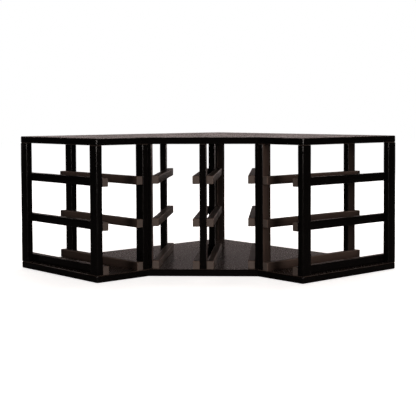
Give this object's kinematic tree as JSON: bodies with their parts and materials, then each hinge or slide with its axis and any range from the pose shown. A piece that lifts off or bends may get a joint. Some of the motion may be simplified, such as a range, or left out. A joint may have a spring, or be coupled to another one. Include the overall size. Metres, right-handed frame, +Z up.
{
  "type": "wine rack",
  "caption": "Corner wine rack of dark stained wood: upright frames with bearer bars between a top and a bottom board, so that bottles lie front to back in open cells.",
  "frame": {"origin": "on the floor under the middle of the boards, at the underside of the bottom board", "axes": "+X to the right seen from the front, +Y towards the room corner, +Z up"},
  "size_m": [0.8476, 0.6352, 0.3],
  "materials": {
    "board_wood": "satin",
    "post_wood": "satin",
    "bar_wood": "satin",
    "dowel_wood": "matte",
    "screw_steel": "brushed"
  },
  "bodies": {
    "root": {"top_board": "board_wood", "bottom_board": "board_wood", "corner_post": "post_wood", "left_end_front_post": "post_wood", "left_end_rear_post": "post_wood", "left_end_bar_1": "bar_wood", "left_end_bar_2": "bar_wood", "left_end_bar_3": "bar_wood", "left_junction_front_post": "post_wood", "left_junction_rear_post": "post_wood", "left_junction_bar_1": "bar_wood", "left_junction_bar_2": "bar_wood", "left_junction_bar_3": "bar_wood", "left_side_front_post": "post_wood", "left_side_rear_post": "post_wood", "left_side_bar_1": "bar_wood", "left_side_bar_2": "bar_wood", "left_side_bar_3": "bar_wood", "middle_front_post": "post_wood", "middle_rear_post": "post_wood", "middle_left_bar_1": "bar_wood", "middle_left_bar_2": "bar_wood", "middle_left_bar_3": "bar_wood", "middle_right_bar_1": "bar_wood", "middle_right_bar_2": "bar_wood", "middle_right_bar_3": "bar_wood", "right_side_front_post": "post_wood", "right_side_rear_post": "post_wood", "right_side_bar_1": "bar_wood", "right_side_bar_2": "bar_wood", "right_side_bar_3": "bar_wood", "right_junction_front_post": "post_wood", "right_junction_rear_post": "post_wood", "right_junction_bar_1": "bar_wood", "right_junction_bar_2": "bar_wood", "right_junction_bar_3": "bar_wood", "right_end_front_post": "post_wood", "right_end_rear_post": "post_wood", "right_end_bar_1": "bar_wood", "right_end_bar_2": "bar_wood", "right_end_bar_3": "bar_wood", "bar_dowels": "dowel_wood", "top_dowels": "dowel_wood", "bottom_screws": "screw_steel"}
  },
  "joints": []
}
